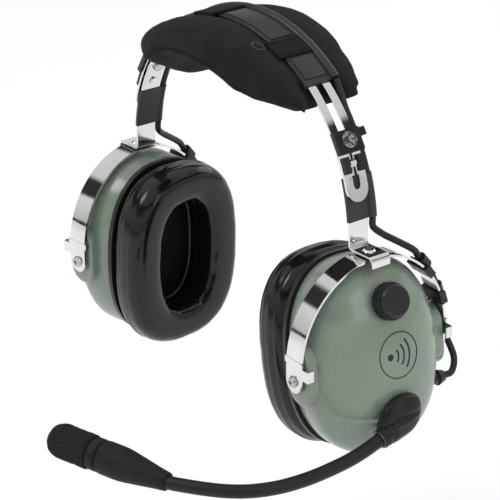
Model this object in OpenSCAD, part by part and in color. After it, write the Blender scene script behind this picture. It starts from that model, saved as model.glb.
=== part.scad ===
// Aviation headset: a slotted spring headband, two sliding arms, two swivelling stirrups
// and two tilting ear cups, with a boom microphone and a volume knob on the left cup.
// The origin is the middle of the head, level with the tilt axes of the ear cups.
// +X points to the wearer's left, -Y to the front and +Z up. Lengths are in millimetres.

/* [Headband] */
// Radius of the spring strip, at the middle of its thickness
band_r = 92.5; // [91:0.5:94]
// Height of the strip's arc centre above the cups' tilt axes
band_rise = 65; // [64:0.5:67]
// Width of the spring strip
band_w = 14; // [13:0.5:15]
// Thickness of the spring strip and of the arms
strip_t = 1.2; // [1:0.1:1.4]
// Angle above the horizontal at which the centre of each round strip end lies
band_end = 16; // [15:0.5:18]
// Width of the adjusting slots
slot_w = 4.4; // [4:0.1:4.8]
// Angle that the label sleeve covers to each side of the top
sleeve_span = 39; // [36:1:41]

/* [Head pad] */
// Thickness of the pad
pad_t = 20; // [16:0.5:22]
// Thickness of the pad near its left end
pad_left_t = 5.5; // [5:0.5:18]
// Thickness of the pad near its right end
pad_right_t = 22.5; // [5:0.5:24]
// Half width of the pad at the top of the head
pad_half_w = 42; // [34:1:46]
// Half width of the pad at its left end
pad_left_half_w = 26; // [20:1:32]
// Half width of the pad at its right end
pad_right_half_w = 25; // [20:1:32]
// Angle that the pad covers to the left of the top
pad_left_span = 48; // [44:0.5:49]
// Angle that the pad covers to the right of the top
pad_right_span = 45; // [43:0.5:49]
// How far the pad's front and rear edges hang below its middle
pad_droop = 3; // [2:1:8]

/* [Arms] */
// Width of the arm strips
arm_w = 12.2; // [11:0.2:13]
// Height of the foot plate above the tilt axis
foot_z = 59.5; // [59.4:0.1:60.5]
// Diameter of the clamp screws
clamp_d = 3; // [2.5:0.1:3.5]

/* [Stirrups] */
// Distance of the tilt and swivel axes from the middle of the head
axis_x = 99; // [98.5:0.1:99.5]
// Half width of the stirrup arch
arch_half_w = 46; // [45.8:0.1:47]
// Height of the stirrup arch above its straight ends
arch_h = 50; // [49.9:0.1:50.1]
// Width of the stirrup strip
yoke_w = 12.4; // [11.6:0.2:12.8]
// Turn of the left stirrup about its rivet at rest
left_turn = -4; // [-8:1:8]
// Turn of the right stirrup about its rivet at rest
right_turn = -5; // [-8:1:8]

/* [Ear cups] */
// Half width of the cup shell, front to back
dome_half_w = 39.8; // [39:0.2:40.2]
// Half height of the cup shell
dome_half_h = 52; // [51:0.5:52.5]
// Depth of the shell outward of the tilt axis
dome_depth = 24.5; // [24:0.5:26]
// Wall of the shell
dome_wall = 2.2; // [1.8:0.1:2.6]
// Half width of the shell's open rim
rim_half_w = 36.4; // [36:0.2:37]
// Half height of the shell's open rim
rim_half_h = 50.5; // [50:0.5:51]
// Height of the cup's middle above its tilt axis
cup_z = 2.5; // [2:0.5:3]
// Half width of the ear seal
seal_half_w = 40.5; // [40:0.5:42]
// Half height of the ear seal
seal_half_h = 53; // [52:0.5:54]
// Thickness of the ear seal
seal_t = 24; // [22:0.5:25]
// Half width of the opening in the ear seal
ear_half_w = 19; // [18:0.5:20]
// Half height of the opening in the ear seal
ear_half_h = 33; // [31:0.5:34]
// Tilt of the left cup at rest: below zero its seal hangs down
left_tilt = -10; // [-12:1:12]
// Tilt of the right cup at rest: below zero its seal hangs down
right_tilt = -1; // [-12:1:12]

/* [Volume knob] */
// Diameter over the knurl
knob_d = 19.5; // [18:0.5:21]
// Height of the knob
knob_h = 9; // [8:0.5:11]

/* [Boom microphone] */
// Diameter of the boom
boom_d = 7; // [6:0.2:7.6]
// Diameter of the foam windscreen
mic_d = 18.5; // [16:0.5:20]
// Radius of the boom housing
housing_r = 11.5; // [11:0.5:12]

/* [Cord] */
// Diameter of the cord between the cups
cord_d = 3.6; // [3:0.1:3.8]
// Diameter of the communication cord that the gland takes
comm_d = 6; // [5.5:0.1:6.5]

/* [Hidden] */
SIDES = [1, -1];

$fn = 64;
e = 0.05;
ring_n = 48;          // points round each oval ring of the shells and seals
gap = 0.4;            // room between the sliding strips

// headband and arms
band_in = band_r - strip_t/2;
band_out = band_r + strip_t/2;
arm_r = band_r - 2;   // the arms slide inside the band
stud_a = 24;          // angle of the guide stud on the arm
clamp_a = 31;         // angle of the clamp screw on the arm
arm_top_a = 34.5;
arm_sleeve_a = [5.5, 20];
sleeve_half_w = band_w/2 + 2.2;
cord_y = 10.8;        // the cord's place behind the strip, inside the label sleeve
cord_arm_y = 9.1;     // and along the arms
cord_r = cord_d/2;
cord_hole_r = cord_r + 0.15;
strap_angles = [[20, 27.5], [-16, -6]];
bend_r = 2.2;         // middle radius of the bends in the foot
foot_x = axis_x + 8.6;
lip_h = 5.2;

// stirrups
arch_z = 8;           // height at which the straight ends meet the arch
screw_r = 1.5;
rivet_r = 2;
yoke_hole_r = screw_r + 0.06;

// cups
rim_x = -16.5;          // open rim of the shell
flange_t = 3;
seal_x = rim_x - flange_t - 0.2;
knob_z = 31.8;
knob_lean = 12;
boom_z = -27.5;
boom_lean = 10;
gland_z = -44.2;
gland_x = -3;
grommet = [7, 36, -22.5];
clip_turns = [47.5, 70.5];
clip_cord_x = -2;
clip_lift = 3.7;

// boom route in the boom's own frame: X outward along the pivot, -Y forward
boom_rear_pts = [[6.6, -13.5, -6.5], [8.1, -26.4, -9.5], [8.4, -38.4, -11.9], [8.5, -54, -13.4]];
boom_flex_pts = [[8.5, -54, -13.4], [7.9, -66, -14], [6.3, -79, -14], [2.3, -91.5, -13.7]];
boom_front_pts = [[1.85, -92.2, -13.7], [-4, -101, -13.6], [-12.3, -109, -13.6], [-24.6, -118, -13.8], [-28.7, -120, -13.9]];
mic_start = [-28.7, -120, -13.9];
mic_dir_end = [-103.7, -148, -11.1];

function turn(s) = s > 0 ? left_turn : right_turn;
function tilt(s) = s > 0 ? left_tilt : right_tilt;
function spow(v, p) = sign(v)*pow(abs(v), p);
function unit(v) = v/norm(v);
function rot_y(p, a) = [p[0]*cos(a) + p[2]*sin(a), p[1], p[2]*cos(a) - p[0]*sin(a)];
function rot_z(p, a) = [p[0]*cos(a) - p[1]*sin(a), p[0]*sin(a) + p[1]*cos(a), p[2]];
function on_band(a, r, y) = [r*cos(a), y, band_rise + r*sin(a)];

// an oval ring in a plane across X, with exponent n: 2 is an ellipse, more is squarer
function oval(x, w, h, n) =
    [for (k = [0:ring_n - 1]) let (a = 360*k/ring_n) [x, w*spow(cos(a), 2/n), h*spow(sin(a), 2/n)]];

// points of a smooth curve through pts, n steps to each stretch
function curve(pts, n) = let (last = len(pts) - 1)
    [for (i = [0:last - 1], k = [0:n - 1]) curve_at(pts, i, k/n, last), pts[last]];
function curve_at(pts, i, t, last) =
    let (p0 = pts[max(i - 1, 0)], p1 = pts[i], p2 = pts[i + 1], p3 = pts[min(i + 2, last)])
    0.5*(2*p1 + (p2 - p0)*t + (2*p0 - 5*p1 + 4*p2 - p3)*t*t + (3*p1 - p0 - 3*p2 + p3)*t*t*t);

// side surface of a strip in a plane: its centre line thickened to both sides
function ribbon(path, t) = let (last = len(path) - 1,
    nrm = [for (i = [0:last]) let (d = unit(path[min(i + 1, last)] - path[max(i - 1, 0)])) [-d[1], d[0]]])
    concat([for (i = [0:last]) path[i] + nrm[i]*t/2], [for (i = [last:-1:0]) path[i] - nrm[i]*t/2]);
function arc(c, r, a0, a1, n) = [for (k = [0:n]) let (a = a0 + (a1 - a0)*k/n) c + r*[cos(a), sin(a)]];

// a point on the stirrup arch: w degrees from the top towards the back, off outside the strip
function arch_at(w, off) = let (d = unit([sin(w)/arch_half_w, cos(w)/arch_h]))
    [arch_half_w*sin(w) + d[0]*off, arch_z + arch_h*cos(w) + d[1]*off];

// closed skin over a list of rings; wrapped joins the last ring to the first
module loft(rings, wrapped = false) {
    m = len(rings[0]);
    n = len(rings);
    bands = wrapped ? n : n - 1;
    sides = [for (i = [0:bands - 1], k = [0:m - 1])
        let (a = i*m + k, b = i*m + (k + 1)%m, c = ((i + 1)%n)*m + (k + 1)%m, d = ((i + 1)%n)*m + k)
        each [[a, b, c], [a, c, d]]];
    caps = wrapped ? [] : [[for (k = [m - 1:-1:0]) k], [for (k = [0:m - 1]) (n - 1)*m + k]];
    polyhedron([for (r = rings) each r], concat(sides, caps));
}

// tube of radius r along pts; ref is any direction the route never follows
module tube(pts, r, ref, sides = 8) {
    last = len(pts) - 1;
    rings = [for (i = [0:last])
        let (t = unit(pts[min(i + 1, last)] - pts[max(i - 1, 0)]), u = unit(cross(ref, t)), v = cross(t, u))
        [for (k = [0:sides - 1]) let (a = 360*k/sides) pts[i] + r*(u*cos(a) + v*sin(a))]];
    loft(rings);
}

// places: the side of the head, the stirrup, the cup and the boom
module side(s) {
    if (s > 0) children();
    else mirror([1, 0, 0]) children();
}
module at_yoke(s) {
    side(s) translate([axis_x, 0, 0]) rotate([0, 0, turn(s)]) children();
}
module at_cup(s) {
    at_yoke(s) rotate([0, tilt(s), 0]) translate([0, 0, cup_z]) children();
}
module at_knob() {
    at_cup(1) translate([dome_face(knob_z), 0, knob_z]) rotate([0, 90 - knob_lean, 0]) children();
}
module at_boom() {
    at_cup(1) translate([dome_face(boom_z), 0, boom_z]) rotate([0, boom_lean, 0]) children();
}
module along(p, q) {
    d = unit(q - p);
    translate(p) rotate([0, acos(d[2]), atan2(d[1], d[0])]) children();
}
module across_band(a, r) {
    translate(on_band(a, r, 0)) rotate([0, 90 - a, 0]) children();
}
module sector(r0, r1, half_w, a0, a1) {
    translate([0, 0, band_rise]) rotate([90, 0, 0]) rotate([0, 0, a0])
        rotate_extrude(angle = a1 - a0, $fn = 180) translate([r0, -half_w]) square([r1 - r0, 2*half_w]);
}

// ---- headband ----
module band_spring() {
    color("silver") difference() {
        union() {
            sector(band_in, band_out, band_w/2, band_end, 180 - band_end);
            for (a = [band_end, 180 - band_end]) across_band(a, band_in - 0.1)
                cylinder(d = band_w - 0.4, h = strip_t + 0.2);
        }
        for (s = SIDES) side(s) {
            sector(band_in - 1, band_out + 1, slot_w/2, band_end + 1, 90 - sleeve_span + 6);
            across_band(band_end + 1, band_in - 1) cylinder(d = slot_w - 0.3, h = 4);
        }
    }
}

function pad_span(b) = b > 0 ? pad_left_span : pad_right_span;
function pad_half(b) = pad_half_w - (pad_half_w - (b > 0 ? pad_left_half_w : pad_right_half_w))*pow(b/pad_span(b), 2);
// radius of the pad's upper face: a channel for the label sleeve between two raised wings
function pad_top(y) = let (wing = max(0, abs(y) - sleeve_half_w - 2.5))
    band_in - 1.1 + (y < 0 ? 4.6 : 2)*(1 - exp(-wing/4)) - pad_droop*pow(abs(y)/pad_half_w, 3.5);
function pad_deep(b) = pad_t - (pad_t - (b > 0 ? pad_left_t : pad_right_t))*pow(b/pad_span(b), 2);
// room for the top of a retracted arm, in the pad's ends
function pad_dip(b, y) = 3.4*min(1, max(0, (abs(b) - 39)/3))*min(1, max(0, (12.5 - abs(y))/4));
function pad_ring(b) = let (end = pow(1 - pow(abs(b)/(pad_span(b) + 0.8), 10), 0.5), w = pad_half(b)*(0.75 + 0.25*end))
    [for (k = [0:35]) let (c = 360*k/36, y = w*spow(cos(c), 0.75), f = (1 + spow(sin(c), 0.6))/2,
        top = pad_top(y) - pad_dip(b, y) - (1 - end)*pad_deep(b)*0.5, t = (pad_deep(b) - pad_dip(b, y))*end, r = top - t*(1 - f))
        [r*sin(b), y, band_rise + r*cos(b)]];
module head_pad() {
    color("#1b1918") loft([for (i = [-13:13]) pad_ring(pad_span(i)*sin(90*i/13))]);
}

module sleeve_section() {
    difference() {
        union() {
            translate([band_in - 0.7, -sleeve_half_w]) square([strip_t + 1.8, 2*sleeve_half_w]);
            translate([band_r + 1.3, cord_y]) circle(r = cord_r + 0.9);
        }
        translate([band_in - 0.1, -band_w/2 - 0.1]) square([strip_t + 0.2, band_w + 0.2]);
        translate([band_r + 1.3, cord_y]) circle(r = cord_hole_r);
    }
}
// rotates a section of [radius, y] round the band's arc, from angle a0 to a1
module round_band(a0, a1) {
    translate([0, 0, band_rise]) rotate([90, 0, 0]) rotate([0, 0, a0])
        rotate_extrude(angle = a1 - a0, $fn = 180) mirror([0, 1]) children();
}
module band_sleeve() {
    color("#2a2a2b") round_band(90 - sleeve_span, 90 + sleeve_span) sleeve_section();
}
module pad_straps() {
    color("#141313") for (w = strap_angles) round_band(90 - w[1], 90 - w[0]) {
        translate([band_out + 1.4, -sleeve_half_w - 4]) square([0.9, 2*sleeve_half_w + 2.7]);
        translate([band_in + 0.6, -sleeve_half_w - 4]) square([strip_t + 1.3, 0.9]);
    }
}
module cord_top() {
    color("#1d1d1d") round_band(90 - sleeve_span + 0.1, 90 + sleeve_span - 0.1)
        translate([band_r + 1.3, cord_y]) circle(r = cord_r, $fn = 24);
}

// ---- arms ----
arm_path = concat(
    arc([0, band_rise], arm_r, arm_top_a, 0, 22),
    [[arm_r, foot_z + bend_r + 1]],
    arc([arm_r + bend_r, foot_z + bend_r], bend_r, 180, 270, 5),
    arc([foot_x - bend_r, foot_z - bend_r], bend_r, 90, 0, 5),
    [[foot_x, foot_z - lip_h]]);
module arm(s) {
    color("silver") side(s) difference() {
        rotate([90, 0, 0]) linear_extrude(arm_w, center = true) polygon(ribbon(arm_path, strip_t));
        translate([axis_x, 0, foot_z - 2]) cylinder(r = rivet_r + 0.01, h = 4);
        across_band(clamp_a, arm_r - 2) cylinder(d = clamp_d + 0.02, h = 4);
        across_band(stud_a, arm_r - 2) cylinder(r = 1.2 + 0.01, h = 4);
    }
}
module clamp(s) {
    color("#161616") side(s) difference() {
        union() {
            across_band(clamp_a, band_out + gap) translate([-5.5, -band_w/2 - 1.2, 0])
                cube([12, band_w + 2.4, 2.6]);
            for (y = [-1, 1]) across_band(stud_a - 0.5, band_out + gap)
                translate([-4.5, y*4.9 - 1.9, 0]) cube([8.5, 3.8, 1.6]);
            across_band(clamp_a + 1.5, arm_r) translate([-2.2, band_w/2 + 0.4, -2.6]) cube([4.4, 4.6, 8.2]);
        }
        across_band(clamp_a, band_r) cylinder(d = clamp_d + 0.02, h = 8);
        translate(on_band(clamp_a + 1.5, arm_r + 0.8, 0)) translate([0, cord_arm_y, 0])
            rotate([0, -clamp_a - 1.5, 0]) cylinder(r = cord_hole_r + 0.1, h = 9, center = true);
    }
}
module clamp_screw(s) {
    color("#b9b6ae") side(s) across_band(clamp_a, 0) {
        translate([0, 0, arm_r - strip_t/2 - 1.5]) cylinder(r = 3, h = 1.45);
        translate([0, 0, arm_r - strip_t/2 - 0.2]) cylinder(d = clamp_d, h = 10.4);
        translate([0, 0, band_out + gap + 2.62]) cylinder(r = 4.2, h = 0.6);
        translate([0, 0, band_out + gap + 3.2]) cylinder(r = 3.4, h = 2.4, $fn = 6);
    }
}
module guide_stud(s) {
    color("silver") side(s) across_band(stud_a, 0) {
        translate([0, 0, arm_r - strip_t/2 - 0.9]) cylinder(r = 2.2, h = 0.85);
        translate([0, 0, arm_r - strip_t/2 - 0.2]) cylinder(r = 1.2, h = 4.4);
        translate([0, 0, arm_r + strip_t/2 + 0.1]) cylinder(r = slot_w/2 - 0.25, h = 3.3);
    }
}
module arm_sleeve(s) {
    inner = arm_r - strip_t/2;
    color("#2f2f30") side(s) round_band(arm_sleeve_a[0], arm_sleeve_a[1]) difference() {
        union() {
            translate([inner - 0.45, -arm_w/2 - 0.5]) square([strip_t + 0.85, arm_w + 1]);
            translate([arm_r + 0.8, cord_arm_y]) circle(r = cord_r + 0.5);
            translate([inner - 0.45, arm_w/2 - 0.5]) square([strip_t + 0.85, 2.4]);
        }
        translate([inner - 0.05, -arm_w/2 - 0.08]) square([strip_t + 0.1, arm_w + 0.16]);
        translate([arm_r + 0.8, cord_arm_y]) circle(r = cord_hole_r);
    }
}
module swivel_rivet(s) {
    color("silver") side(s) translate([axis_x, 0, 0]) {
        translate([0, 0, foot_z - strip_t/2 - 3.5]) cylinder(r = rivet_r, h = strip_t + 3.8);
        translate([0, 0, arch_z + arch_h - strip_t/2 - 1.1]) cylinder(r = 3.3, h = 0.75);
        translate([0, 0, foot_z + strip_t/2 + 0.02]) cylinder(r1 = 3.4, r2 = 2.4, h = 0.9, $fn = 48);
    }
}
function upper_route() = concat(
    [for (k = [0:3]) let (f = k/3) on_band(90 - sleeve_span - 0.3 - k*3, band_r + 1.3 - 2*f, cord_y - (cord_y - cord_arm_y)*f)],
    [for (a = [37, 33, 29, 24, 19, 14, 10, 5.2]) on_band(a, arm_r + 0.8, cord_arm_y)]);
module cord_upper(s) {
    color("#1d1d1d") side(s) tube(upper_route(), cord_r, [0, 1, 0]);
}

// ---- stirrups ----
arch_path = concat(
    [[-arch_half_w, 0], [-arch_half_w, arch_z/2]],
    [for (k = [-18:18]) [arch_half_w*sin(5*k), arch_z + arch_h*cos(5*k)]],
    [[arch_half_w, arch_z/2], [arch_half_w, 0]]);
module stirrup(s) {
    inner = arch_half_w - strip_t/2;
    color("silver") at_yoke(s) difference() {
        union() {
            rotate([90, 0, 90]) linear_extrude(yoke_w, center = true) polygon(ribbon(arch_path, strip_t));
            for (y = [-1, 1]) {
                translate([0, y*arch_half_w, 0]) rotate([90, 0, 0])
                    cylinder(d = yoke_w, h = strip_t, center = true);
                translate([0, y*arch_half_w, 10.5]) cube([yoke_w + 2.4, strip_t, 3.4], center = true);
                // hook that reaches over the edge of the cup's boss
                translate([yoke_w/2 - 1, y*arch_half_w - strip_t/2, 3.5]) cube([6.6, strip_t, 6]);
                translate([yoke_w/2 + 4.6, y > 0 ? inner - 2.8 : -inner - 0.6, 3.5]) cube([1, 3.4, 6]);
            }
        }
        translate([0, 0, 50]) cylinder(r = rivet_r + 0.06, h = 20);
        rotate([90, 0, 0]) cylinder(r = yoke_hole_r, h = 120, center = true);
    }
}
module at_clip(w) {
    p = arch_at(w, 0);
    d = unit([sin(w)/arch_half_w, cos(w)/arch_h]);
    translate([0, p[0], p[1]]) rotate([-atan2(d[0], d[1]), 0, 0]) children();
}
module cord_clips(s) {
    color("#141414") at_yoke(s) for (w = clip_turns) at_clip(w) difference() {
        union() {
            translate([0, 0, 0.3]) cube([yoke_w + 3, 7, strip_t + 2.8], center = true);
            translate([clip_cord_x, 0, clip_lift]) rotate([90, 0, 0]) cylinder(r = cord_r + 1.4, h = 7, center = true);
        }
        cube([yoke_w + 0.3, 9, strip_t + 0.5], center = true);
        translate([clip_cord_x, 0, clip_lift]) rotate([90, 0, 0])
            cylinder(r = cord_hole_r + 0.15, h = 9, center = true);
    }
}
function in_yoke(p, s) = rot_z(p - [axis_x, 0, 0], -turn(s));
function on_arch(w, off) = let (p = arch_at(w, off)) [clip_cord_x, p[0], p[1]];
function yoke_route(s) = concat(
    [in_yoke(on_band(4.9, arm_r + 0.8, cord_arm_y), s), in_yoke([arm_r + 0.9, cord_arm_y + 0.2, 68], s),
     [-6, 13.5, 63.5], [-4.5, 19.5, 59.5]],
    [for (w = [36, 42, 47.5, 53, 60, 67, 74, 80, 84]) on_arch(w, clip_lift + (w == 36 ? 1.2 : 0))]);
module cord_yoke(s) {
    color("#1d1d1d") at_yoke(s) tube(curve(yoke_route(s), 2), cord_r, [1, 0, 0]);
}

// ---- ear cups ----
function dome_cut(x) = pow(1 - pow(x/dome_depth, 2.2), 1/2.2);
function dome_w(x) = x < 0 ? dome_half_w - (dome_half_w - rim_half_w)*pow(x/rim_x, 2) : dome_half_w*dome_cut(x);
function dome_h(x) = x < 0 ? dome_half_h - (dome_half_h - rim_half_h)*pow(x/rim_x, 2) : dome_half_h*dome_cut(x);
function dome_face(z) = dome_depth*pow(1 - pow(abs(z)/dome_half_h, 2.2), 1/2.2);
dome_xs = concat([rim_x, -10, -4], [for (k = [0:9]) dome_depth*sin(8.7*k)]);
function dome_ring(x) = oval(x, dome_w(x), dome_h(x), 2.3);
function dome_inner(x) = oval(x*(x > 0 ? 1 - dome_wall/dome_depth : 1), dome_w(x)*(1 - dome_wall/dome_half_w),
    dome_h(x)*(1 - dome_wall/dome_half_h), 2.3);
module dome(s) {
    n = len(dome_xs) - 1;
    color("#82917f") at_cup(s) difference() {
        union() {
            loft(concat([for (i = [n:-1:0]) dome_ring(dome_xs[i])], [for (i = [0:n]) dome_inner(dome_xs[i])]));
            for (y = [-1, 1]) translate([0, y*40.3, -cup_z]) rotate([90, 0, 0]) {
                linear_extrude(7.2, center = true) {
                    translate([0, 10]) circle(r = 9);
                    translate([0, -5]) circle(r = 9);
                    translate([-9, -5]) square([18, 15]);
                }
            }
        }
        translate([0, 0, -cup_z]) rotate([90, 0, 0]) cylinder(r = screw_r + 0.02, h = 120, center = true);
        translate(grommet) rotate([-90, 0, 0]) translate([0, 0, -8]) cylinder(r = 3.3, h = 16);
        if (s > 0) {
            translate([dome_face(knob_z), 0, knob_z]) rotate([0, 90 - knob_lean, 0])
                translate([0, 0, -6]) cylinder(r = 4.55, h = 12);
            translate([dome_face(boom_z), 0, boom_z]) rotate([0, 90 + boom_lean, 0])
                translate([0, 0, -6]) cylinder(r = 4.05, h = 12);
            translate([gland_x, 8, gland_z]) rotate([180, 0, 0]) cylinder(r = 5.05, h = 20);
        }
    }
}
module pivot_screws(s) {
    color("#a8a8a6") at_cup(s) translate([0, 0, -cup_z]) for (y = [-1, 1]) scale([1, y, 1]) rotate([-90, 0, 0]) {
        translate([0, 0, 36.9]) cylinder(r = screw_r, h = arch_half_w - 36.9 + strip_t/2 + 1);
        translate([0, 0, arch_half_w + strip_t/2 + 0.1]) difference() {
            cylinder(r1 = 3.2, r2 = 2.5, h = 1.7, $fn = 48);
            for (a = [0, 90]) rotate([0, 0, a]) translate([-1.7, -0.35, 0.9]) cube([3.4, 0.7, 2]);
        }
    }
}
module oval_plate(x, t, w, h, n) {
    translate([x, 0, 0]) rotate([90, 0, 90]) linear_extrude(t)
        polygon([for (p = oval(0, w, h, n)) [p[1], p[2]]]);
}
module seal_flange(s) {
    color("#111111") at_cup(s) difference() {
        oval_plate(rim_x - flange_t, flange_t - 0.05, rim_half_w + 2, rim_half_h + 1.5, 2.4);
        oval_plate(rim_x - 5, 8, ear_half_w + 3, ear_half_h + 3, 2.6);
    }
}
module ear_seal(s) {
    w_out = seal_half_w;
    h_out = seal_half_h;
    mid = seal_x - seal_t*0.5;
    rings = [for (k = [0:13]) let (a = 360*k/14 + 12, c = spow(cos(a), 0.7), d = spow(sin(a), 0.8), f = (1 + c)/2)
        oval(mid - d*seal_t/2 - 6*(1 - f)*(1 - abs(d)), ear_half_w + (w_out - ear_half_w)*f, ear_half_h + (h_out - ear_half_h)*f, 2.6)];
    color("#0d0d0d") at_cup(s) loft(rings, wrapped = true);
}
module ear_foam(s) {
    color("#1c1c1c") at_cup(s) oval_plate(rim_x + 0.4, 5, rim_half_w - 3.5, rim_half_h - 3.7, 2.4);
}
module baffle(s) {
    color("#222222") at_cup(s) difference() {
        oval_plate(rim_x + 5.6, 1.5, rim_half_w - 1.6, rim_half_h - 2.7, 2.4);
        rotate([0, 90, 0]) cylinder(r = 14, h = 40, center = true);
    }
}
module driver(s) {
    color("#555555") at_cup(s) translate([rim_x + 7.3, 0, 0]) rotate([0, 90, 0]) {
        cylinder(r = 19, h = 4);
        translate([0, 0, 3.9]) cylinder(r = 12, h = 5);
    }
}
module cord_grommet(s) {
    color("#121212") at_cup(s) translate(grommet) rotate([-90, 0, 0]) difference() {
        union() {
            translate([0, 0, -3]) cylinder(r = 3.2, h = 5);
            translate([0, 0, 1.9]) cylinder(r1 = 4.4, r2 = 3, h = 4.6, $fn = 48);
        }
        translate([0, 0, -4]) cylinder(r = cord_hole_r, h = 12);
    }
}
function loop_route(s) = let (g = rot_y(grommet + [0, 0, cup_z], tilt(s)), a = on_arch(84.7, clip_lift))
    [a, a + [0, 1.2, -6], a + [-0.2, 3, -13], [g[0]*0.6, a[1] + 3.4, g[2] + 7],
     [g[0], g[1] + 12.5, g[2] + 0.8], g + [0, 7, 0], g + [0, 1, 0], g + [0, -2, 0]];
module cord_loop(s) {
    color("#1d1d1d") at_yoke(s) tube(curve(loop_route(s), 3), cord_r, [1, 0, 0]);
}

// ---- electronics and cord inlet, left cup only ----
module gain_pot() {
    color("#6b6b66") at_knob() difference() {
        union() {
            translate([0, 0, -12]) cylinder(r = 8, h = 8);
            translate([0, 0, -4.1]) cylinder(r = 4.5, h = 4.4);
        }
        translate([0, 0, -9]) cylinder(r = 3.06, h = 12);
    }
}
module mic_amplifier() {
    color("#27613a") at_cup(1) translate([9, -13, -8]) cube([1.6, 26, 22]);
    color("#333333") at_cup(1) for (y = [-9, 0, 8]) translate([10.5, y - 2.5, -2]) cube([3, 5, 8]);
}
module comm_gland() {
    color("#121212") at_cup(1) translate([gland_x, 8, gland_z]) rotate([180, 0, 0]) difference() {
        union() {
            cylinder(r = 5, h = 7.6);
            translate([0, 0, -1.5]) cylinder(r = 5.9, h = 1.6);
        }
        translate([0, 0, -3]) cylinder(d = comm_d, h = 16);
    }
}
module boom_pivot() {
    color("#8c8c8a") at_boom() rotate([0, 90, 0]) {
        translate([0, 0, -6.5]) cylinder(r = 7, h = 2.6);
        translate([0, 0, -4]) cylinder(r = 4, h = 9.5);
    }
}

// ---- volume knob ----
module volume_knob() {
    teeth = 30;
    skirt = knob_h*0.62;
    color("#141414") at_knob() translate([0, 0, 1.3]) difference() {
        union() {
            linear_extrude(skirt) polygon([for (k = [0:2*teeth - 1])
                let (r = knob_d/2 - (k%2)*0.7) r*[cos(180*k/teeth), sin(180*k/teeth)]]);
            rotate_extrude() polygon(concat([[0, skirt - e], [knob_d/2 - 0.9, skirt - e]],
                [for (k = [0:6]) [knob_d/2 - 2.6 + 1.6*cos(15*k), skirt + (knob_h - skirt)*sin(15*k)]],
                [[0, knob_h - 0.3]]));
        }
        translate([0, 0, -1]) cylinder(r = 3.02, h = 6.5);
    }
}
module knob_shaft() {
    color("silver") at_knob() translate([0, 0, -8.5]) cylinder(r = 3, h = 15);
}

// ---- boom and microphone ----
module boom_housing() {
    root = boom_rear_pts[0];
    color("#131313") at_boom() difference() {
        hull() {
            translate([1.6, 0, 0]) rotate([0, 90, 0]) cylinder(r = housing_r, h = 3.6, $fn = 40);
            translate([1.6, 0, 0]) rotate([0, 90, 0]) cylinder(r = housing_r - 3, h = 6.6, $fn = 40);
            along(root + [0, 2.9, 0.6], root) cylinder(r = 4.9, h = 0.5, $fn = 32);
        }
        rotate([0, 90, 0]) cylinder(r = 4.07, h = 6);
    }
}
module boom_collar() {
    root = boom_rear_pts[0];
    color("#1a1a1a") at_boom() difference() {
        along(root + [0, 1.8, 0.4], boom_rear_pts[1]) cylinder(r = 5.1, h = 5);
        along(root + [0, 1.8, 0.4], boom_rear_pts[1]) translate([0, 0, 1.5]) cylinder(r = boom_d/2 + 0.35, h = 12);
    }
}
module boom_rear() {
    p = boom_rear_pts;
    color("#161616") at_boom() tube(curve([p[0] + [0, -0.2, 0], p[1], p[2], p[3]], 3), boom_d/2, [0, 0, 1], 14);
}
module boom_flex() {
    color("#1b1b1b") at_boom() tube(curve(boom_flex_pts, 3), boom_d/2 - 0.1, [0, 0, 1], 14);
}
module boom_front() {
    color("#161616") at_boom() tube(curve(boom_front_pts, 3), boom_d/2, [0, 0, 1], 14);
}
module at_mic() {
    at_boom() along(mic_start, mic_dir_end) children();
}
mic_r = mic_d/2;
module mic_body() {
    color("#141414") at_mic() difference() {
        rotate_extrude() polygon([[0, 0.1], [4.7, 0.1], [5, 3], [6.7, 14], [8.2, 24], [8.8, 31], [8.8, 36],
            [7.6, 36], [7.6, 38.4], [0, 38.4]]);
        translate([0, 0, 27]) cylinder(r = 4.55, h = 12);
    }
}
module mic_band() {
    color("#1a1a1a") at_mic() translate([0, 0, 38.5]) difference() {
        cylinder(r = mic_r, h = 8.5);
        translate([0, 0, -1]) cylinder(r = 4.6, h = 12);
    }
}
module mic_windscreen() {
    color("#161616") at_mic() translate([0, 0, 47.1]) difference() {
        rotate_extrude() polygon(concat([[0, 0], [mic_r - 1, 0], [mic_r - 1, 1.6], [mic_r, 2]],
            [for (k = [0:8]) [mic_r*0.35 + mic_r*0.65*cos(11.25*k), 18.5 + 7.5*sin(11.25*k)]], [[0, 26]]));
        translate([0, 0, -1]) cylinder(r = 4.6, h = 6);
    }
}
module mic_element() {
    color("#777777") at_mic() translate([0, 0, 28]) cylinder(r = 4.5, h = 22);
}

band_spring();
head_pad();
band_sleeve();
pad_straps();
cord_top();
arm(1);  // left_arm
clamp(1);  // left_clamp
clamp_screw(1);  // left_clamp_screw
guide_stud(1);  // left_guide_stud
arm_sleeve(1);  // left_arm_sleeve
swivel_rivet(1);  // left_swivel_rivet
cord_upper(1);  // left_cord_upper
arm(-1);  // right_arm
clamp(-1);  // right_clamp
clamp_screw(-1);  // right_clamp_screw
guide_stud(-1);  // right_guide_stud
arm_sleeve(-1);  // right_arm_sleeve
swivel_rivet(-1);  // right_swivel_rivet
cord_upper(-1);  // right_cord_upper
stirrup(1);  // left_stirrup
cord_clips(1);  // left_cord_clips
cord_yoke(1);  // left_cord_yoke
stirrup(-1);  // right_stirrup
cord_clips(-1);  // right_cord_clips
cord_yoke(-1);  // right_cord_yoke
dome(1);  // left_dome
pivot_screws(1);  // left_pivot_screws
seal_flange(1);  // left_seal_flange
ear_seal(1);  // left_ear_seal
ear_foam(1);  // left_ear_foam
baffle(1);  // left_baffle
driver(1);  // left_driver
cord_grommet(1);  // left_cord_grommet
cord_loop(1);  // left_cord_loop
dome(-1);  // right_dome
pivot_screws(-1);  // right_pivot_screws
seal_flange(-1);  // right_seal_flange
ear_seal(-1);  // right_ear_seal
ear_foam(-1);  // right_ear_foam
baffle(-1);  // right_baffle
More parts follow.
